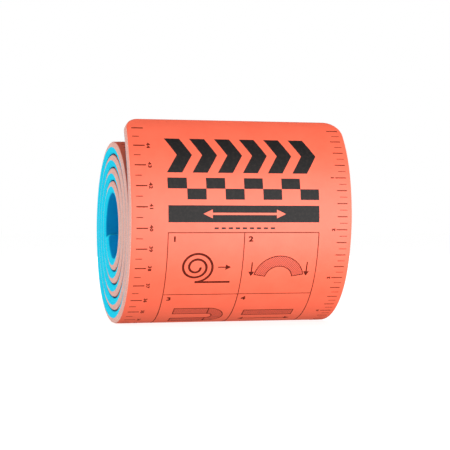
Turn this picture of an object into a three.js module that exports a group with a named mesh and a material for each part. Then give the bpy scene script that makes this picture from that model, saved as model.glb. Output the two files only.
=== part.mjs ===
// Aluminium foam splint, rolled up as it is stored: a strip of soft aluminium bonded between two sheets of
// closed-cell foam, wound with the orange sheet outside and its free end standing off the roll.
// Millimetres, +Z up. The roll lies along X, with its free end at the front, towards -Y. The origin is on the
// surface that it rests on, in the middle of its length and depth.
import * as THREE from "three";

// The strip as it is cut, before rolling.
const STRIP_LENGTH = 914.4;
const STRIP_WIDTH = 108;
const INNER_CORNER_RADIUS = 3;
const FREE_CORNER_RADIUS = 8;

// The laminate, from the inside of the roll to the outside. Rolling squeezes the inner foam together, which
// makes it thicker, and draws the outer foam thin.
const INNER_FOAM_THICKNESS = 3;
const CORE_THICKNESS = 0.3;
const OUTER_FOAM_THICKNESS = 2.4;
const GLUE_LINE = 0.1;
const CORE_SETBACK = 0.8; // the aluminium stops short of the foam's edge
const CUT_LEAN = THREE.MathUtils.degToRad(14.5); // the die pinches the foam, so its cut edges lean in

// The roll, wound from its inner end in half turns that each grow by half the pitch.
const PITCH = 6.49;
const INNERMOST_RADIUS = 17.46; // to the middle of the laminate
const HALF_TURNS = 8; // a quarter turn follows them, down to where the roll rests
const INNER_END_DROP = THREE.MathUtils.degToRad(8.7); // the inner end lies this far below level, at the back
const PRESSED_FLAT = 0.3; // how far the roll's own weight presses in the foam that it rests on
const SAG = 0.1; // share by which that weight spreads the foot of the roll

// The free end, from where the roll rests: it springs open at the front and runs up past the top of the roll.
const FREE_END = [
  { stretch: "still wound", length: 22.6, radius: 44.3 },
  { stretch: "sprung open", length: 56.6, radius: 53.85 },
  { stretch: "straightest", length: 15.2, radius: 74 },
  { stretch: "curled tip", length: "what is left of the strip", radius: 52.6 },
];
const FREE_END_DRIFT = 2; // the tip lies this far to the left of the turns below it

// Facets.
const STATIONS = 306; // cross-sections along the strip
const CORNER_STEPS = 4;

const LAMINATE = INNER_FOAM_THICKNESS + CORE_THICKNESS + OUTER_FOAM_THICKNESS + 2 * GLUE_LINE;
const CORE_INSIDE = INNER_FOAM_THICKNESS + GLUE_LINE - LAMINATE / 2;
const CORE_OUTSIDE = CORE_INSIDE + CORE_THICKNESS;
const OUTERMOST_RADIUS = INNERMOST_RADIUS + (HALF_TURNS * PITCH) / 2 + LAMINATE / 2;
const ROLL_HEIGHT = OUTERMOST_RADIUS - PRESSED_FLAT;
const QUARTER_TURN = Math.PI / 2;

// Unit vector square to a heading in the YZ plane. It points out of the roll.
function outward(heading) {
  return new THREE.Vector2(-Math.sin(heading), Math.cos(heading));
}

// The middle line of the strip as a chain of arcs in the YZ plane, from the inner end to the free end.
function windStrip() {
  const bends = [];
  for (let half = 0; half <= HALF_TURNS; half++) {
    const radius = INNERMOST_RADIUS + (half * PITCH) / 2;
    let turn = Math.PI;
    if (half === 0) turn -= INNER_END_DROP;
    if (half === HALF_TURNS) turn = QUARTER_TURN;
    bends.push({ radius, length: radius * turn });
  }
  for (const { length, radius } of FREE_END) {
    const used = bends.reduce((sum, bend) => sum + bend.length, 0);
    bends.push({ radius, length: Number.isFinite(length) ? length : STRIP_LENGTH - used });
  }

  let start = 0;
  let heading = -QUARTER_TURN - INNER_END_DROP;
  const point = new THREE.Vector2(0, ROLL_HEIGHT).addScaledVector(outward(heading), INNERMOST_RADIUS);
  return bends.map(({ radius, length }) => {
    const centre = point.clone().addScaledVector(outward(heading), -radius);
    const arc = { start, heading, radius, centre };
    start += length;
    heading -= length / radius;
    point.copy(centre).addScaledVector(outward(heading), radius);
    return arc;
  });
}

const WINDING = windStrip();
const FREE_END_START = WINDING[HALF_TURNS + 1].start;

// A point of the rolled strip: how far across it is, how far along, and how far out from the middle line.
// Foam that would reach below the surface that the roll rests on is pressed flat there.
function rolled(across, along, out) {
  const arc = WINDING.findLast(({ start }) => start <= along);
  const direction = outward(arc.heading - (along - arc.start) / arc.radius);
  const section = arc.centre.clone().addScaledVector(direction, arc.radius + out);
  const freeShare = Math.max(0, (along - FREE_END_START) / (STRIP_LENGTH - FREE_END_START));
  const height = Math.max(section.y, 0);
  const spread = 1 + SAG * Math.max(0, 1 - height / ROLL_HEIGHT) ** 2;
  return new THREE.Vector3(across - FREE_END_DRIFT * freeShare, section.x * spread, height);
}

// The strip's outline at one station: a rectangle with round corners, drawn in from the edge by a setback.
function outline(station, setback) {
  const atFreeEnd = station > STATIONS / 2;
  const radius = atFreeEnd ? FREE_CORNER_RADIUS : INNER_CORNER_RADIUS;
  const fromEnd = atFreeEnd ? STATIONS - station : station;
  const cornerTurn = Math.min(fromEnd / CORNER_STEPS, 1) * QUARTER_TURN;
  const drawnIn = radius - setback;
  const halfWidth = STRIP_WIDTH / 2 - radius + drawnIn * Math.sin(cornerTurn);
  const corner = setback + drawnIn * (1 - Math.cos(cornerTurn));
  if (fromEnd < CORNER_STEPS) return { halfWidth, along: atFreeEnd ? STRIP_LENGTH - corner : corner };
  const share = (station - CORNER_STEPS) / (STATIONS - 2 * CORNER_STEPS);
  const straightEnd = STRIP_LENGTH - FREE_CORNER_RADIUS;
  return { halfWidth, along: THREE.MathUtils.lerp(INNER_CORNER_RADIUS, straightEnd, share) };
}

// A sheet of the laminate: a box cut into stations, fitted to the outline and rolled up. Its rows are its
// inside and its outside face, each with how far out it lies and how far its edge is drawn in.
function rolledSheet(rows) {
  const geometry = new THREE.BoxGeometry(2, 1, 1, 1, STATIONS, 1);
  const position = geometry.getAttribute("position");
  for (let i = 0; i < position.count; i++) {
    const side = position.getX(i);
    const station = Math.round((position.getY(i) + 0.5) * STATIONS);
    const { out, setback } = position.getZ(i) < 0 ? rows.inside : rows.outside;
    const { halfWidth, along } = outline(station, setback);
    position.setXYZ(i, ...rolled(side * halfWidth, along, out));
  }
  geometry.computeVertexNormals();
  return geometry;
}

const SHEETS = [
  {
    name: "outer_foam",
    rows: {
      inside: { out: CORE_OUTSIDE + GLUE_LINE, setback: 0 },
      outside: { out: LAMINATE / 2, setback: OUTER_FOAM_THICKNESS * Math.tan(CUT_LEAN) },
    },
    material: { color: 0xfb7358, roughness: 0.62, metalness: 0 },
  },
  {
    name: "aluminium_core",
    rows: {
      inside: { out: CORE_INSIDE, setback: CORE_SETBACK },
      outside: { out: CORE_OUTSIDE, setback: CORE_SETBACK },
    },
    material: { color: 0xc4c7ca, roughness: 0.38, metalness: 1 },
  },
  {
    name: "inner_foam",
    rows: {
      inside: { out: -LAMINATE / 2, setback: INNER_FOAM_THICKNESS * Math.tan(CUT_LEAN) },
      outside: { out: CORE_INSIDE - GLUE_LINE, setback: 0 },
    },
    material: { color: 0x1fb4e6, roughness: 0.62, metalness: 0 },
  },
];

const splint = new THREE.Group();
for (const { name, rows, material } of SHEETS) {
  const sheet = new THREE.Mesh(rolledSheet(rows), new THREE.MeshStandardMaterial(material));
  sheet.name = name;
  splint.add(sheet);
}

const extent = new THREE.Box3().setFromObject(splint);
const middle = extent.getCenter(new THREE.Vector3());
splint.position.set(-middle.x, -middle.y, 0);

export default splint;
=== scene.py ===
import math

import bmesh
import bpy
from mathutils import Matrix, Vector


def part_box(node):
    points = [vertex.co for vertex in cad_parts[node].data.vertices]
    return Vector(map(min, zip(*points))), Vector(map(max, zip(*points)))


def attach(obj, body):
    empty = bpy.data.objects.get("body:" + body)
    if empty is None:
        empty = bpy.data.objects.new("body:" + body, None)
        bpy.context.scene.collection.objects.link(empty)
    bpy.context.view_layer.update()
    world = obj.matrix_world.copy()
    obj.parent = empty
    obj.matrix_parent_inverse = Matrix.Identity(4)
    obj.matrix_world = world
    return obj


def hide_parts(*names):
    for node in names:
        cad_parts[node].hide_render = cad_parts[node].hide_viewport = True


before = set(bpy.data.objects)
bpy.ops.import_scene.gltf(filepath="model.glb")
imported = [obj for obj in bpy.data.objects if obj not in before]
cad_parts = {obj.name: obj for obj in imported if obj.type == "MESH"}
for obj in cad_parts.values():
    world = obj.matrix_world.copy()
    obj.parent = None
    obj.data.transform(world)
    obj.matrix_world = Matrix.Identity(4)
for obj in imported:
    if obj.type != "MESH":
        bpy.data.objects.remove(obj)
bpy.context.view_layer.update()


# Aluminium core
# A strip of soft rolled aluminium, sheared to length with round corners. It is glued between the two foam
# sheets, a little short of their edge, so it doesn't show, and it keeps any form that the splint is bent to.
MM = 0.001
STRIP_LENGTH = 914.4 * MM
STRIP_WIDTH = 108 * MM
INNER_CORNER = 3.0 * MM
FREE_LEFT_CORNER = 6.5 * MM
FREE_RIGHT_CORNER = 8.7 * MM
CORNER_SEGMENTS = 10
CORE_THICKNESS = 0.3 * MM
CORE_OUT = 0.3 * MM  # from the middle of the laminate to the middle of the aluminium
CORE_SETBACK = 0.8 * MM
STATION = 1.0 * MM
END_ROOM = 12 * MM  # the length at each end that holds its round corners
SNAP = 0.002 * MM  # points closer together than this are one


def flat_strip(low, high, setback):
    """A blank cut from flat sheet, with round corners. X is across it, Y along it and Z its thickness."""
    blank = bmesh.new()
    places = (setback, END_ROOM, STRIP_LENGTH - END_ROOM, STRIP_LENGTH - setback)
    half_width = STRIP_WIDTH / 2 - setback
    stretches = len(places) - 1
    bmesh.ops.create_grid(blank, x_segments=1, y_segments=stretches, size=0.5)
    for vert in blank.verts:
        row = round((vert.co.y + 0.5) * stretches)
        vert.co = (math.copysign(half_width, vert.co.x), places[row], low)
    corners = [vert for vert in blank.verts if len(vert.link_edges) == 2]
    for corner in corners:
        radius = INNER_CORNER
        if corner.co.y > STRIP_LENGTH / 2:
            radius = FREE_LEFT_CORNER if corner.co.x < 0 else FREE_RIGHT_CORNER
        bmesh.ops.bevel(
            blank, geom=[corner], offset=radius - setback, affect="VERTICES",
            segments=CORNER_SEGMENTS, profile=0.5, material=-1,
        )
    thicken(blank, high - low)
    return blank


def thicken(flat, height):
    """Raises every face of a flat mesh into a closed slab."""
    raised = bmesh.ops.extrude_face_region(flat, geom=flat.faces[:], use_keep_orig=True)
    top = [part for part in raised["geom"] if isinstance(part, bmesh.types.BMVert)]
    bmesh.ops.translate(flat, verts=top, vec=(0, 0, height))
    bmesh.ops.recalc_face_normals(flat, faces=flat.faces)


def cut_across(flat, place):
    """Cuts a flat mesh along one line across the strip."""
    geom = flat.verts[:] + flat.edges[:] + flat.faces[:]
    bmesh.ops.bisect_plane(flat, geom=geom, dist=SNAP, plane_co=(0, place, 0), plane_no=(0, 1, 0))


def cut_stations(blank):
    """Cuts a blank across at close stations, so that it can follow the turns of the roll."""
    long_edges = [edge for edge in blank.edges if edge.calc_length() > STRIP_LENGTH / 2]
    cuts = round((STRIP_LENGTH - 2 * END_ROOM) / STATION) - 1
    bmesh.ops.subdivide_edges(blank, edges=long_edges, cuts=cuts, use_grid_fill=True)
    for step in range(1, round(END_ROOM / STATION)):
        cut_across(blank, step * STATION)
        cut_across(blank, STRIP_LENGTH - step * STATION)


# The roll is wound in half turns that each grow by half the pitch, from an inner end that lies a little below
# level at the back, down to where the roll rests. From there the free end springs open in four bends, each
# given by its length and radius. The last one takes what is left of the strip, and narrows a little to its end.
PITCH = 6.49 * MM
INNERMOST_RADIUS = 17.46 * MM
HALF_TURNS = 8
INNER_END_DROP = math.radians(8.7)
LAMINATE = 5.9 * MM
PRESSED_FLAT = 0.3 * MM
FREE_BENDS = ((22.6 * MM, 44.3 * MM), (56.6 * MM, 53.85 * MM), (15.2 * MM, 74 * MM), (None, 52.6 * MM))
FREE_END_DRIFT = 2 * MM
FREE_END_EASE = 0.9 * MM
EASE_RUN = 30 * MM
SAG = 0.1
OUTERMOST_RADIUS = INNERMOST_RADIUS + HALF_TURNS * PITCH / 2 + LAMINATE / 2


def outward(heading):
    """Unit vector square to a heading in the section of the roll. It points out of the roll."""
    return Vector((-math.sin(heading), math.cos(heading)))


def wind():
    """The arcs of the middle line as (start, heading, radius, centre), and where the free end starts."""
    bends = []
    for half in range(HALF_TURNS + 1):
        turn = math.pi
        if half == 0:
            turn -= INNER_END_DROP
        if half == HALF_TURNS:
            turn = math.pi / 2
        radius = INNERMOST_RADIUS + half * PITCH / 2
        bends.append((radius * turn, radius))
    free_start = sum(length for length, radius in bends)
    for length, radius in FREE_BENDS:
        left = STRIP_LENGTH - sum(length for length, radius in bends)
        bends.append((length or left, radius))
    start = 0
    heading = -math.pi / 2 - INNER_END_DROP
    point = Vector((ROLL_DEPTH, ROLL_HEIGHT)) + outward(heading) * INNERMOST_RADIUS
    arcs = []
    for length, radius in bends:
        centre = point - outward(heading) * radius
        arcs.append((start, heading, radius, centre))
        start += length
        heading -= length / radius
        point = centre + outward(heading) * radius
    return arcs, free_start


ROLL_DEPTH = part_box("outer_foam")[1][1] - OUTERMOST_RADIUS
ROLL_HEIGHT = OUTERMOST_RADIUS - PRESSED_FLAT
ARCS, FREE_START = wind()
STRIP_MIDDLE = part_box("outer_foam")[1][0] - STRIP_WIDTH / 2


def rolled(flat):
    """Where a point of the flat strip lies in the roll, whose lower half spreads under its own weight."""
    across, along, out = flat
    start, heading, radius, centre = [arc for arc in ARCS if arc[0] <= max(along, 0)][-1]
    section = centre + outward(heading - (along - start) / radius) * (radius + out)
    drift = FREE_END_DRIFT * max(0, (along - FREE_START) / (STRIP_LENGTH - FREE_START))
    ease = FREE_END_EASE * max(0, 1 - (STRIP_LENGTH - along) / EASE_RUN) ** 2
    across *= 1 - ease / (STRIP_WIDTH / 2)
    height = max(section.y, 0)
    spread = 1 + SAG * max(0, 1 - height / ROLL_HEIGHT) ** 2
    return Vector((STRIP_MIDDLE + across - drift, ROLL_DEPTH + (section.x - ROLL_DEPTH) * spread, height))


SHARP = math.radians(50)


def make_object(built, name):
    """Turns a finished bmesh into an object of the scene."""
    mesh = bpy.data.meshes.new(name)
    built.to_mesh(mesh)
    built.free()
    made = bpy.data.objects.new(name, mesh)
    bpy.context.collection.objects.link(made)
    return made


def roll_up(flat, name):
    """Rolls a flat mesh up with the strip and makes it a smooth-shaded object."""
    bmesh.ops.dissolve_degenerate(flat, dist=SNAP, edges=flat.edges)
    strip_map = flat.loops.layers.uv.new("strip")
    for face in flat.faces:
        face.smooth = True
        for loop in face.loops:
            loop[strip_map].uv = (loop.vert.co.x / STRIP_LENGTH, loop.vert.co.y / STRIP_LENGTH)
    for vert in flat.verts:
        vert.co = rolled(vert.co)
    large = [face for face in flat.faces if len(face.verts) > 4]
    bmesh.ops.triangulate(flat, faces=large)
    bmesh.ops.recalc_face_normals(flat, faces=flat.faces)
    for edge in flat.edges:
        edge.smooth = edge.calc_face_angle(0) < SHARP
    return make_object(flat, name)


def linear(hex_colour):
    """Linear RGBA of an sRGB hex colour."""
    channels = [int(hex_colour[place:place + 2], 16) / 255 for place in (1, 3, 5)]
    return [c / 12.92 if c <= 0.04045 else ((c + 0.055) / 1.055) ** 2.4 for c in channels] + [1]


def add(material, kind, sockets=None, **settings):
    """Adds a node with its settings. A socket's value is a number, a colour or the output that feeds it."""
    tree = material.node_tree
    made = tree.nodes.new(kind)
    for name, value in settings.items():
        setattr(made, name, value)
    for name, value in (sockets or {}).items():
        if isinstance(value, bpy.types.NodeSocket):
            tree.links.new(value, made.inputs[name])
        else:
            made.inputs[name].default_value = value
    return made


def new_material(name):
    """A material with an empty node tree."""
    material = bpy.data.materials.new(name)
    material.use_nodes = True
    material.node_tree.nodes.clear()
    return material


# Bare mill-finish aluminium: a soft grey gleam with fine lines along the strip, left by the mill's rolls.
ROLL_LINE = 0.25 * MM
ROLL_LINE_LENGTH = 15 * MM
ROLL_LINE_DEPTH = 0.02 * MM
mill_aluminium = new_material("mill_finish_aluminium")
strip_uv = add(mill_aluminium, "ShaderNodeUVMap", uv_map="strip")
lines = add(mill_aluminium, "ShaderNodeMapping", {
    "Vector": strip_uv.outputs["UV"],
    "Scale": (STRIP_LENGTH / ROLL_LINE, STRIP_LENGTH / ROLL_LINE_LENGTH, 1),
})
streaks = add(mill_aluminium, "ShaderNodeTexNoise", {
    "Vector": lines.outputs["Vector"], "Scale": 1, "Detail": 3,
})
gleam = add(mill_aluminium, "ShaderNodeMapRange", {
    "Value": streaks.outputs["Fac"], "To Min": 0.45, "To Max": 0.62,
})
ridges = add(mill_aluminium, "ShaderNodeBump", {
    "Height": streaks.outputs["Fac"], "Strength": 0.15, "Distance": ROLL_LINE_DEPTH,
})
metal = add(mill_aluminium, "ShaderNodeBsdfPrincipled", {
    "Base Color": linear("#c2c5c8"), "Metallic": 1, "Roughness": gleam.outputs["Result"],
    "Normal": ridges.outputs["Normal"],
})
add(mill_aluminium, "ShaderNodeOutputMaterial", {"Surface": metal.outputs["BSDF"]})

core_blank = flat_strip(CORE_OUT - CORE_THICKNESS / 2, CORE_OUT + CORE_THICKNESS / 2, CORE_SETBACK)
cut_stations(core_blank)
core = roll_up(core_blank, "aluminium_core_strip")
core.data.materials.append(mill_aluminium)
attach(core, "root")
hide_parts("aluminium_core")


# Inner foam
# A sheet of bright blue closed-cell polyethylene foam, glued to the inside of the aluminium. The die that
# cuts the laminate pinches it: the cut edge leans in from the seam, where the two foams are pressed together
# past the aluminium, and the cut cells look paler than the skin.
GLUE_LINE = 0.03 * MM
SEAM_LIP = 0.05 * MM  # height of the upright band along the seam
SEAM_GAP = 0.01 * MM  # from the seam's middle to the foam on each side of it
CUT_LEAN = math.radians(14.5)
CUT_DEPTH = 0.14 * MM  # how far below the face the skin ends and the cut cells begin
FACE_ROUNDING = 0.6 * MM
FACE_SEGMENTS = 6
FOAM_FACE = LAMINATE / 2
LEVEL = 0.9  # a face is level where its normal rises by more than this
UPRIGHT = 0.1  # and upright where its normal rises by less than this


def foam_sheet(side, name):
    """A foam sheet on one side of the aluminium, +1 for the outside and -1 for the inside.

    Its rim attribute is 0 on the skin and 1 where it is cut.
    """
    glued = side * CORE_OUT + CORE_THICKNESS / 2 + GLUE_LINE
    lip_middle = glued + SEAM_LIP / 2
    blank = flat_strip(glued, glued + SEAM_LIP, 0)
    plate = [
        face for face in blank.faces
        if face.calc_center_median().z > lip_middle and face.normal.z > LEVEL
    ]
    rise = FOAM_FACE - glued - SEAM_LIP
    bmesh.ops.inset_region(
        blank, faces=plate, thickness=rise * math.tan(CUT_LEAN), depth=rise,
        use_even_offset=True, use_boundary=True,
    )
    on_face = {vert for vert in blank.verts if vert.co.z > FOAM_FACE - SEAM_LIP}
    face_rim = [
        edge for edge in blank.edges
        if on_face.issuperset(edge.verts) and edge.calc_face_angle(0) > SHARP
    ]
    bmesh.ops.bevel(
        blank, geom=face_rim, offset=FACE_ROUNDING, affect="EDGES",
        segments=FACE_SEGMENTS, profile=0.5, material=-1,
    )
    underside = [face for face in blank.faces if face.normal.z < -LEVEL]
    bmesh.ops.inset_region(
        blank, faces=underside, thickness=CORE_SETBACK, depth=0,
        use_even_offset=True, use_boundary=True,
    )
    lips = {vert for face in blank.faces if abs(face.normal.z) < UPRIGHT for vert in face.verts}
    seam = [vert for vert in lips if vert.co.z < lip_middle]
    bmesh.ops.translate(blank, verts=seam, vec=(0, 0, side * CORE_OUT + SEAM_GAP - glued))
    cut_stations(blank)
    rim = blank.verts.layers.float.new("rim")
    for vert in blank.verts:
        vert[rim] = min(1, (FOAM_FACE - vert.co.z) / (2 * CUT_DEPTH))
    bmesh.ops.scale(blank, verts=blank.verts, vec=(1, 1, side))
    return roll_up(blank, name)


# Closed-cell polyethylene foam with a skinned face: a dull, even colour under a broad soft sheen, fine
# pinholes where cells break the skin, and a rougher, paler edge where the die cut through the cells. The pits
# of the cut cells are painted darker, as shade.
CELL = 0.45 * MM
CELL_DEPTH = 0.1 * MM
PEEL = 3 * MM
PEEL_DEPTH = 0.25 * MM
MOTTLE = 9 * MM


def closed_cell_foam(name, skin, deep, cell_wall, pit_painted_shade, gloss):
    """Foam whose skin wanders to a deeper colour, with pale cut cells at the rim and painted shade in their
    pits.
    """
    foam = new_material(name)
    place = add(foam, "ShaderNodeTexCoord").outputs["Object"]
    mottle = add(foam, "ShaderNodeTexNoise", {
        "Vector": place, "Scale": 1 / MOTTLE, "Detail": 4, "Roughness": 0.6,
    })
    cells = add(foam, "ShaderNodeTexVoronoi", {"Vector": place, "Scale": 1 / CELL, "Randomness": 1})
    peel = add(foam, "ShaderNodeTexNoise", {"Vector": place, "Scale": 1 / PEEL, "Detail": 2})
    rim = add(foam, "ShaderNodeAttribute", attribute_name="rim")
    wander = add(foam, "ShaderNodeMapRange", {
        "Value": mottle.outputs["Fac"], "From Min": 0.3, "From Max": 0.7,
    })
    skin_colour = add(foam, "ShaderNodeMix", {
        0: wander.outputs["Result"], 6: linear(skin), 7: linear(deep),
    }, data_type="RGBA")
    edge_share = add(foam, "ShaderNodeMapRange", {
        "Value": rim.outputs["Fac"], "From Min": 0.4, "From Max": 0.6,
    }, interpolation_type="SMOOTHSTEP")
    # Painted shade: the colour of each cut cell darkens from its wall towards the middle of its pit.
    pit_shade_fade = add(foam, "ShaderNodeMapRange", {
        "Value": cells.outputs["Distance"], "From Min": 0.25, "From Max": 0.75,
    })
    cut_colour_with_pit_shade = add(foam, "ShaderNodeMix", {
        0: pit_shade_fade.outputs["Result"], 6: linear(pit_painted_shade), 7: linear(cell_wall),
    }, data_type="RGBA")
    colour = add(foam, "ShaderNodeMix", {
        0: edge_share.outputs["Result"], 6: skin_colour.outputs[2], 7: cut_colour_with_pit_shade.outputs[2],
    }, data_type="RGBA")
    dull = add(foam, "ShaderNodeMapRange", {"Value": rim.outputs["Fac"], "To Min": 0.52, "To Max": 0.8})
    soft_peel = add(foam, "ShaderNodeBump", {
        "Height": peel.outputs["Fac"], "Strength": 0.25, "Distance": PEEL_DEPTH,
    })
    openness = add(foam, "ShaderNodeMapRange", {"Value": rim.outputs["Fac"], "To Min": 0.3, "To Max": 0.7})
    pinholes = add(foam, "ShaderNodeBump", {
        "Height": cells.outputs["Distance"], "Strength": openness.outputs["Result"], "Distance": CELL_DEPTH,
        "Normal": soft_peel.outputs["Normal"],
    })
    shader = add(foam, "ShaderNodeBsdfPrincipled", {
        "Base Color": colour.outputs[2], "Roughness": dull.outputs["Result"], "Specular IOR Level": gloss,
        "Normal": pinholes.outputs["Normal"],
    })
    add(foam, "ShaderNodeOutputMaterial", {"Surface": shader.outputs["BSDF"]})
    return foam


blue_foam = closed_cell_foam(
    "blue_polyethylene_foam", skin="#0cbaf2", deep="#08b0ea",
    # The pit colour is a deeper blue, painted as shade in the cut cells.
    cell_wall="#1ed2ec", pit_painted_shade="#0bbde0", gloss=0.1,
)
inner = foam_sheet(-1, "inner_foam_sheet")
inner.data.materials.append(blue_foam)
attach(inner, "root")
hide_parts("inner_foam")


# Outer foam
# The same foam in coral orange, glued to the outside of the aluminium. Rolling draws it thinner than the blue
# sheet. It carries the print, and the roll rests on it.
orange_foam = closed_cell_foam(
    "orange_polyethylene_foam", skin="#f5684a", deep="#f26244",
    # The pit colour is a darker pink, painted as shade in the cut cells.
    cell_wall="#e8b5a9", pit_painted_shade="#d29d91", gloss=0.62,
)
outer = foam_sheet(+1, "outer_foam_sheet")
outer.data.materials.append(orange_foam)
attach(outer, "root")
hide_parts("outer_foam")


# Rulers
# A centimetre ruler is printed along the left edge and an inch ruler along the right, in thin black ink on
# the orange foam. The face is stretched as it is rolled, so a printed length takes a little less of the
# middle line.
INK_DEPTH = 0.06 * MM  # how far a film of ink reaches into the foam
INK_RISE = 0.04 * MM
INK_STATION = 1.5 * MM
PRINT_STRETCH = 0.934
RULER_ZERO = 6.5 * MM  # from the free end to the rulers' first tick
RULER_RUN = 330 * MM
DIGIT_SIZE = 2.3 * MM
DIGIT_HALF = 0.35 * DIGIT_SIZE  # half of a digit's height
DIGIT_BOLDNESS = 0.042
DIGIT_SPACING = 1.1
DIGIT_BREADTH = 1.2
DIGIT_HEIGHT = 0.95


def ink_block(film, across, down, width, height):
    """A rectangle of ink, given by its middle and its size. Down is from the rulers' first tick."""
    place = Matrix.Translation((across, -down, 0)) @ Matrix.Diagonal((width, height, 1, 1))
    bmesh.ops.create_grid(film, x_segments=1, y_segments=1, size=0.5, matrix=place)


def ink_number(film, number, size, across, down, turn):
    """A printed number, turned about its middle."""
    words = bpy.data.curves.new("number", "FONT")
    words.body = str(number)
    words.size = size
    words.align_x = "CENTER"
    words.align_y = "CENTER"
    words.offset = DIGIT_BOLDNESS * size
    words.space_character = DIGIT_SPACING
    words.resolution_u = 3
    holder = bpy.data.objects.new("number", words)
    letters = holder.to_mesh()
    broad = Matrix.Diagonal((DIGIT_BREADTH, DIGIT_HEIGHT, 1, 1))
    letters.transform(Matrix.Translation((across, -down, 0)) @ Matrix.Rotation(turn, 4, "Z") @ broad)
    film.from_mesh(letters)
    holder.to_mesh_clear()
    bpy.data.objects.remove(holder)
    bpy.data.curves.remove(words)


def print_on(film, name, ink, rise):
    """Lays a flat film of ink on the orange face and rolls it up with the strip."""
    bmesh.ops.remove_doubles(film, verts=film.verts, dist=SNAP)
    bmesh.ops.scale(film, verts=film.verts, vec=(1, PRINT_STRETCH, 1))
    bmesh.ops.translate(film, verts=film.verts, vec=(0, STRIP_LENGTH - RULER_ZERO, FOAM_FACE - INK_DEPTH))
    ends = [vert.co.y for vert in film.verts]
    place = min(ends) + INK_STATION
    while place < max(ends):
        cut_across(film, place)
        place += INK_STATION
    thicken(film, INK_DEPTH + rise)
    piece = roll_up(film, name)
    piece.data.materials.append(ink)
    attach(piece, "root")


# Flexographic black on foam: flat and soft-edged, a little uneven where less of it took, with the foam's peel
# under it. Lines and small figures are printed thin, so the orange shows through them as a deep red-brown.
INK_MOTTLE = 1.2 * MM


def printed_ink(name, dense, sparse, roughness, gloss):
    """Ink on foam whose colour wanders from where it took well to where less of it took."""
    ink = new_material(name)
    place = add(ink, "ShaderNodeTexCoord").outputs["Object"]
    take = add(ink, "ShaderNodeTexNoise", {"Vector": place, "Scale": 1 / INK_MOTTLE, "Detail": 5})
    bare_share = add(ink, "ShaderNodeMapRange", {
        "Value": take.outputs["Fac"], "From Min": 0.45, "From Max": 0.8,
    })
    colour = add(ink, "ShaderNodeMix", {
        0: bare_share.outputs["Result"], 6: linear(dense), 7: linear(sparse),
    }, data_type="RGBA")
    peel = add(ink, "ShaderNodeTexNoise", {"Vector": place, "Scale": 1 / PEEL, "Detail": 2})
    soft_peel = add(ink, "ShaderNodeBump", {
        "Height": peel.outputs["Fac"], "Strength": 0.25, "Distance": PEEL_DEPTH,
    })
    shader = add(ink, "ShaderNodeBsdfPrincipled", {
        "Base Color": colour.outputs[2], "Roughness": roughness, "Specular IOR Level": gloss,
        "Normal": soft_peel.outputs["Normal"],
    })
    add(ink, "ShaderNodeOutputMaterial", {"Surface": shader.outputs["BSDF"]})
    return ink


black_ink = printed_ink(
    "black_flexographic_ink", dense="#191616", sparse="#2a2321", roughness=0.6, gloss=0.3,
)
thin_ink = printed_ink(
    "thin_black_ink_on_orange_foam", dense="#581a0e", sparse="#742a1b", roughness=0.7, gloss=0.1,
)

# The centimetres count down to the middle of the strip.
HALF_CM = 5 * MM
CM_MARGIN = 3.1 * MM
CM_LONG = 5.4 * MM
CM_SHORT = 3.1 * MM
CM_LONG_LINE = 0.54 * MM
CM_SHORT_LINE = 0.34 * MM
CM_DIGIT_GAP = 0.75 * MM
CM_AT_FIRST_TICK = 45
cm_left = -STRIP_WIDTH / 2 + CM_MARGIN
cm_ruler = bmesh.new()
for half in range(round(RULER_RUN / HALF_CM)):
    tick, line = (CM_SHORT, CM_SHORT_LINE) if half % 2 else (CM_LONG, CM_LONG_LINE)
    down = half * HALF_CM
    ink_block(cm_ruler, cm_left + tick / 2, down, tick, line)
    if half and half % 2 == 0:
        across = cm_left + CM_LONG + CM_DIGIT_GAP + DIGIT_HALF
        ink_number(cm_ruler, CM_AT_FIRST_TICK - half // 2, DIGIT_SIZE, across, down, -math.pi / 2)
print_on(cm_ruler, "centimetre_ruler_print", thin_ink, INK_RISE)

# The inches count up from the free end. A tick's length goes by how many eighths it stands for.
EIGHTH = 25.4 * MM / 8
INCH_MARGIN = 2.85 * MM
INCH_TICKS = {8: 5.5 * MM, 4: 5.05 * MM, 2: 5.05 * MM, 1: 3.7 * MM}
INCH_LONG_LINE = 0.42 * MM
INCH_SHORT_LINE = 0.24 * MM
INCH_DIGIT_GAP = 0.5 * MM
inch_right = STRIP_WIDTH / 2 - INCH_MARGIN
inch_ruler = bmesh.new()
for eighth in range(round(RULER_RUN / EIGHTH)):
    tick = INCH_TICKS[math.gcd(eighth, 8)]
    line = INCH_SHORT_LINE if eighth % 2 else INCH_LONG_LINE
    down = eighth * EIGHTH
    ink_block(inch_ruler, inch_right - tick / 2, down, tick, line)
    if eighth and eighth % 8 == 0:
        across = inch_right - INCH_TICKS[8] - INCH_DIGIT_GAP - DIGIT_HALF
        ink_number(inch_ruler, eighth // 8, DIGIT_SIZE, across, down, math.pi / 2)
print_on(inch_ruler, "inch_ruler_print", thin_ink, INK_RISE)


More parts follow.
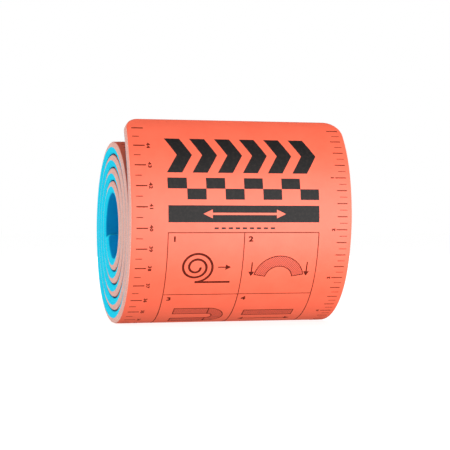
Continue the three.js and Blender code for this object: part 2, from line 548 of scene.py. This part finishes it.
# Panel of bold shapes
# The printed panel between the rulers, in full black: a row of broad chevrons that point along the roll, a
# two-row block scale, a solid bar with a double arrow left bare in it, and a row of dashes.
PANEL_LEFT = -36 * MM
PANEL_WIDTH = 73 * MM
PANEL_RIGHT = PANEL_LEFT + PANEL_WIDTH
PANEL_MIDDLE = PANEL_LEFT + PANEL_WIDTH / 2
CHEVRONS = 6
CHEVRON_TOP = 6 * MM
CHEVRON_HEIGHT = 17.5 * MM
CHEVRON_ARM = 7.2 * MM
CHEVRON_POINT = 5.3 * MM
CHEVRON_STEP = (PANEL_WIDTH - CHEVRON_ARM - CHEVRON_POINT) / (CHEVRONS - 1)
chevron_size = Matrix.Diagonal((CHEVRON_ARM, CHEVRON_HEIGHT, 1, 1))
bold_shapes = bmesh.new()
for number in range(CHEVRONS):
    made = bmesh.ops.create_grid(bold_shapes, x_segments=1, y_segments=2, size=0.5, matrix=chevron_size)
    chevron = made["verts"]
    ridge = [vert for vert in chevron if abs(vert.co.y) < CHEVRON_HEIGHT / 4]
    bmesh.ops.translate(bold_shapes, verts=ridge, vec=(CHEVRON_POINT, 0, 0))
    across = PANEL_LEFT + CHEVRON_ARM / 2 + number * CHEVRON_STEP
    bmesh.ops.translate(bold_shapes, verts=chevron, vec=(across, -CHEVRON_TOP - CHEVRON_HEIGHT / 2, 0))

SCALE_TOP = 26 * MM
SCALE_BLOCKS = 8
SCALE_BLOCK = PANEL_WIDTH / SCALE_BLOCKS
SCALE_ROW = 5.2 * MM
for number in range(SCALE_BLOCKS):
    down = SCALE_TOP + SCALE_ROW * (0.5 + number % 2)
    ink_block(bold_shapes, PANEL_LEFT + SCALE_BLOCK * (number + 0.5), down, SCALE_BLOCK, SCALE_ROW)

# The bar is a grid of cells. Those of the arrow's two heads and its shaft are left bare, and the columns at
# the arrow's tips draw together to a point.
BAR_TOP = 39.2 * MM
BAR_HEIGHT = 8 * MM
BAR_CELLS = 5
ARROW_LENGTH = 40 * MM
HEAD_LENGTH = 4.5 * MM
HEAD_BREADTH = 4.2 * MM
ARROW_SHAFT = 1.1 * MM
TIP_COLUMNS = (1, 4)
HEAD_CELLS = (1, 3)
HEAD_ROWS = (1, 2, 3)
SHAFT_CELL = (2, 2)
columns = (-PANEL_WIDTH / 2, -ARROW_LENGTH / 2, HEAD_LENGTH - ARROW_LENGTH / 2)
columns += tuple(-column for column in reversed(columns))
rows = (-BAR_HEIGHT / 2, -HEAD_BREADTH / 2, -ARROW_SHAFT / 2)
rows += tuple(-row for row in reversed(rows))
bar = bmesh.ops.create_grid(bold_shapes, x_segments=BAR_CELLS, y_segments=BAR_CELLS, size=0.5)["verts"]
bar_cells = {face: face.calc_center_median() * BAR_CELLS for vert in bar for face in vert.link_faces}
for vert in bar:
    column = round((vert.co.x + 0.5) * BAR_CELLS)
    row = round((vert.co.y + 0.5) * BAR_CELLS)
    inside = 0 < row < BAR_CELLS
    vert.co.x = columns[column]
    vert.co.y = 0 if inside and column in TIP_COLUMNS else rows[row]
bare = []
for face, cell in bar_cells.items():
    column = round(cell.x) + BAR_CELLS // 2
    row = round(cell.y) + BAR_CELLS // 2
    in_head = column in HEAD_CELLS and row in HEAD_ROWS
    if in_head or (column, row) == SHAFT_CELL:
        bare.append(face)
bmesh.ops.translate(bold_shapes, verts=bar, vec=(PANEL_MIDDLE, -BAR_TOP - BAR_HEIGHT / 2, 0))
bmesh.ops.delete(bold_shapes, geom=bare, context="FACES")

DASHES = 9
DASH_DOWN = 50 * MM
DASH_LENGTH = 2.0 * MM
DASH_LINE = 0.8 * MM
DASH_PITCH = 3.4 * MM
for number in range(DASHES):
    across = PANEL_MIDDLE + (number - (DASHES - 1) / 2) * DASH_PITCH
    ink_block(bold_shapes, across, DASH_DOWN, DASH_LENGTH, DASH_LINE)
print_on(bold_shapes, "bold_panel_print", black_ink, INK_RISE)


# Handling pictures
# Four small drawings in a ruled frame, in the thin ink of the rulers and numbered 1 to 4: unroll, bend to a
# channel, fold back and lay straight. The strip in them is a black halftone, which looks like a deeper orange.
FRAME_TOP = 52.1 * MM
FRAME_DEPTH = 76 * MM
FRAME_LINE = 0.36 * MM
FRAME_MIDDLE = FRAME_TOP + FRAME_DEPTH / 2
FRAME_SPLIT = FRAME_MIDDLE - 4 * MM
frame_lines = bmesh.new()
for across in (PANEL_LEFT, PANEL_MIDDLE, PANEL_RIGHT):
    ink_block(frame_lines, across, FRAME_MIDDLE, FRAME_LINE, FRAME_DEPTH)
for down in (FRAME_TOP, FRAME_SPLIT, FRAME_TOP + FRAME_DEPTH):
    ink_block(frame_lines, PANEL_MIDDLE, down, PANEL_WIDTH + FRAME_LINE, FRAME_LINE)

NUMBER_SIZE = 3.6 * MM
NUMBER_INSET = 3.2 * MM
cell_corners = [(across, down) for down in (FRAME_TOP, FRAME_SPLIT) for across in (PANEL_LEFT, PANEL_MIDDLE)]
for number, (across, down) in enumerate(cell_corners, 1):
    ink_number(frame_lines, number, NUMBER_SIZE, across + NUMBER_INSET, down + NUMBER_INSET, 0)


def straight(start, end):
    """A straight path between two points that are given across and up."""
    return lambda share: Vector(start).lerp(Vector(end), share)


def level(start, end, up):
    """A straight path across, from one place to another."""
    return straight((start, up), (end, up))


def bent(centre, radius, begin, finish, growth=0):
    """A path round a centre between two angles in degrees, whose radius may grow on the way."""
    def path(share):
        turn = math.radians(begin + (finish - begin) * share)
        return Vector(centre) + Vector((math.cos(turn), math.sin(turn))) * (radius + growth * share)
    return path


PICTURE_STRIP = 5.5 * MM
PICTURE_EDGE = 0.4 * MM
PICTURE_LINE = 0.55 * MM
PICTURE_HEAD = 1.7 * MM
PATH_STEP = 0.02  # the share of a path over which its direction is taken
tint_shapes = bmesh.new()


def ink_stroke(film, path, width, offset=0, steps=36):
    """A line of ink along a path, or beside it by an offset."""
    ribbon = bmesh.ops.create_grid(film, x_segments=steps, y_segments=1, size=0.5)["verts"]
    for vert in ribbon:
        share = vert.co.x + 0.5
        forward = (path(share + PATH_STEP / 2) - path(share - PATH_STEP / 2)).normalized()
        beside = Vector((-forward.y, forward.x)) * (offset + vert.co.y * width)
        vert.co = (path(share) + beside).to_3d()


def picture_arrow(path):
    """A line in a drawing that ends in an arrowhead."""
    ink_stroke(frame_lines, path, PICTURE_LINE)
    forward = path(1) - path(1 - PATH_STEP)
    turn = math.atan2(forward.y, forward.x) - math.pi / 2
    place = Matrix.Translation(path(1).to_3d()) @ Matrix.Rotation(turn, 4, "Z")
    bmesh.ops.create_circle(frame_lines, cap_ends=True, segments=3, radius=PICTURE_HEAD, matrix=place)


def picture_strip(path):
    """A strip in a drawing: a tinted band between two thin edges, closed at its ends."""
    ink_stroke(tint_shapes, path, PICTURE_STRIP)
    for side in (-1, 1):
        ink_stroke(frame_lines, path, PICTURE_EDGE, side * PICTURE_STRIP / 2)
    for end, inward in ((0, PATH_STEP), (1, -PATH_STEP)):
        forward = (path(end + inward) - path(end)).normalized()
        beside = Vector((-forward.y, forward.x)) * (PICTURE_STRIP + PICTURE_EDGE) / 2
        closing = straight(path(end) - beside, path(end) + beside)
        ink_stroke(frame_lines, closing, PICTURE_EDGE, steps=1)


left_cell = PANEL_LEFT + PANEL_WIDTH / 4
right_cell = PANEL_RIGHT - PANEL_WIDTH / 4
upper_cell = -FRAME_TOP - 18.5 * MM
lower_cell = -FRAME_MIDDLE - 15.5 * MM

# Unroll: a coil with its end drawn out to the right.
COIL_LINE = 1.1 * MM
COIL_START = 2 * MM
COIL_GROWTH = 6.5 * MM
COIL_TURN = -810
coil = (left_cell - 4 * MM, upper_cell + 1 * MM)
coil_foot = coil[1] - COIL_START - COIL_GROWTH
ink_stroke(frame_lines, bent(coil, COIL_START, 0, COIL_TURN, COIL_GROWTH), COIL_LINE, steps=90)
ink_stroke(frame_lines, level(coil[0], left_cell + 13 * MM, coil_foot), COIL_LINE)
picture_arrow(level(left_cell + 6.5 * MM, left_cell + 11 * MM, coil[1]))

# Bend: an arched strip with an arrow at each end of the arch.
ARCH_RADIUS = 9.5 * MM
ARCH_ENDS = (170, 10)
arch = (right_cell, upper_cell - 5.5 * MM)
arrow_top = arch[1] + 9 * MM
arrow_tip = arch[1] + 3 * MM
picture_strip(bent(arch, ARCH_RADIUS, *ARCH_ENDS))
for side in (-1, 1):
    across = arch[0] + side * 13.6 * MM
    picture_arrow(straight((across, arrow_top), (across, arrow_tip)))

# Fold: a strip folded back over itself.
FOLD_RADIUS = 5.5 * MM
fold = (left_cell + 6 * MM, lower_cell)
picture_strip(bent(fold, FOLD_RADIUS, 90, -90))
for side in (-1, 1):
    picture_strip(level(fold[0], left_cell - 11 * MM, fold[1] + side * FOLD_RADIUS))

# Lay straight: a flat strip over a double arrow.
FLAT_REACH = 12.5 * MM
ARROW_REACH = 11.5 * MM
picture_strip(level(right_cell - FLAT_REACH, right_cell + FLAT_REACH, lower_cell + 3 * MM))
for side in (-1, 1):
    picture_arrow(level(right_cell, right_cell + side * ARROW_REACH, lower_cell - 5 * MM))
print_on(frame_lines, "handling_frame_print", thin_ink, INK_RISE)

# Halftone: black dots on the orange, set on the slant, which merge to a deeper orange from a little way off.
# They are coarser than a real screen's, so that they show in the render.
HALFTONE_DOT = 0.7 * MM
TINT_RISE = 0.02 * MM
halftone = new_material("black_halftone_on_orange_foam")
halftone_uv = add(halftone, "ShaderNodeUVMap", uv_map="strip")
screen = add(halftone, "ShaderNodeMapping", {
    "Vector": halftone_uv.outputs["UV"], "Rotation": (0, 0, math.radians(45)),
    "Scale": (STRIP_LENGTH / HALFTONE_DOT, STRIP_LENGTH / HALFTONE_DOT, 1),
})
dots = add(halftone, "ShaderNodeTexVoronoi", {
    "Vector": screen.outputs["Vector"], "Scale": 1, "Randomness": 0,
})
bare_foam = add(halftone, "ShaderNodeMapRange", {
    "Value": dots.outputs["Distance"], "From Min": 0.26, "From Max": 0.38,
})
halftone_colour = add(halftone, "ShaderNodeMix", {
    0: bare_foam.outputs["Result"], 6: linear("#3a2a27"), 7: linear("#ee5a3d"),
}, data_type="RGBA")
halftone_shader = add(halftone, "ShaderNodeBsdfPrincipled", {
    "Base Color": halftone_colour.outputs[2], "Roughness": 0.55, "Specular IOR Level": 0.6,
})
add(halftone, "ShaderNodeOutputMaterial", {"Surface": halftone_shader.outputs["BSDF"]})
print_on(tint_shapes, "handling_halftone_print", halftone, TINT_RISE)


# Floor and backdrop
# A white light table just under the roll, and a white surround. The camera sees them, but they neither light
# the roll nor show in its sheen. The table is acrylic lit from below, so the roll throws only a faint shade
# on it.
FLOOR_RADIUS = 8.0
FLOOR_CLEARANCE = 0.2 * MM
floor_mesh = bmesh.new()
bmesh.ops.create_circle(floor_mesh, cap_ends=True, segments=96, radius=FLOOR_RADIUS)
floor = make_object(floor_mesh, "light_table")
floor.location.z = -FLOOR_CLEARANCE
acrylic = new_material("white_light_table_acrylic")
glow = add(acrylic, "ShaderNodeBsdfPrincipled", {
    "Base Color": linear("#a0a0a0"), "Roughness": 0.8, "Specular IOR Level": 0.1,
    "Emission Color": (1, 1, 1, 1), "Emission Strength": 0.85,
})
add(acrylic, "ShaderNodeOutputMaterial", {"Surface": glow.outputs["BSDF"]})
floor.data.materials.append(acrylic)

surround_mesh = bmesh.new()
bmesh.ops.create_uvsphere(surround_mesh, u_segments=48, v_segments=24, radius=FLOOR_RADIUS)
surround = make_object(surround_mesh, "white_surround")
white = new_material("white_surround")
white_light = add(white, "ShaderNodeEmission", {"Color": (1, 1, 1, 1), "Strength": 1})
add(white, "ShaderNodeOutputMaterial", {"Surface": white_light.outputs["Emission"]})
surround.data.materials.append(white)
for backdrop in (floor, surround):
    backdrop.visible_shadow = False
    backdrop.visible_diffuse = False
    backdrop.visible_glossy = False
    backdrop.visible_transmission = False


# Light
# Three softboxes in a dim white room: a large one in front, one at the left for the open end of the roll, and
# one behind it for its back. Only the front one shows in the gloss, as the broad sheen on the free end.
world = bpy.data.worlds.new("dim_surround")
bpy.context.scene.world = world
world.use_nodes = True
world.node_tree.nodes.clear()
sky_way = add(world, "ShaderNodeTexCoord").outputs["Generated"]
sky_height = add(world, "ShaderNodeSeparateXYZ", {"Vector": sky_way})
sky_light = add(world, "ShaderNodeMapRange", {
    "Value": sky_height.outputs["Z"], "From Min": -0.3, "From Max": 0.4, "To Min": 0.5, "To Max": 0.45,
})
sky = add(world, "ShaderNodeBackground", {"Color": (1, 1, 1, 1), "Strength": sky_light.outputs["Result"]})
add(world, "ShaderNodeOutputWorld", {"Surface": sky.outputs["Background"]})
world.cycles_visibility.glossy = False
bpy.context.scene.view_settings.view_transform = "Standard"
ROLL_MIDDLE = Vector((STRIP_MIDDLE, 0, OUTERMOST_RADIUS))


def softbox(name, place, width, height, power, glare):
    """An area lamp that faces the roll. Without glare, glossy surfaces don't mirror it."""
    lamp = bpy.data.lights.new(name, "AREA")
    lamp.shape = "RECTANGLE"
    lamp.size = width
    lamp.size_y = height
    lamp.energy = power
    holder = bpy.data.objects.new(name, lamp)
    holder.visible_glossy = glare
    holder.location = place
    holder.rotation_euler = (ROLL_MIDDLE - Vector(place)).to_track_quat("-Z", "Y").to_euler()
    bpy.context.collection.objects.link(holder)


softbox("front_softbox", (0.5, -1.2, -0.1), width=0.9, height=1.3, power=23.5, glare=True)
softbox("end_softbox", (-1.2, 0.1, 0.1), width=0.7, height=0.7, power=9.6, glare=False)
softbox("back_softbox", (0.2, 1.3, 0.35), width=1.0, height=0.8, power=12, glare=False)


# Camera
# It stands level with the middle of the roll and a little to the left of it, so that the open end shows.
# The lens is fitted to the size of the picture in pixels.
VIEW_TURN = math.radians(15.14)
VIEW_DISTANCE = 680.9 * MM
VIEW_AIM = Vector((3.66 * MM, 0, 1.97 * MM))  # from the centre of the winding
FOCAL_PIXELS = 1353.6
PICTURE_PIXELS = 450
SENSOR_WIDTH = 36
camera_data = bpy.data.cameras.new("camera")
camera_data.sensor_width = SENSOR_WIDTH
camera_data.lens = SENSOR_WIDTH * FOCAL_PIXELS / PICTURE_PIXELS
camera = bpy.data.objects.new("camera", camera_data)
wound_centre = Vector((STRIP_MIDDLE, ROLL_DEPTH, ROLL_HEIGHT))
facing = Vector((math.sin(VIEW_TURN), math.cos(VIEW_TURN), 0))
camera.location = wound_centre + VIEW_AIM - facing * VIEW_DISTANCE
camera.rotation_euler = facing.to_track_quat("-Z", "Y").to_euler()
bpy.context.collection.objects.link(camera)
bpy.context.scene.camera = camera
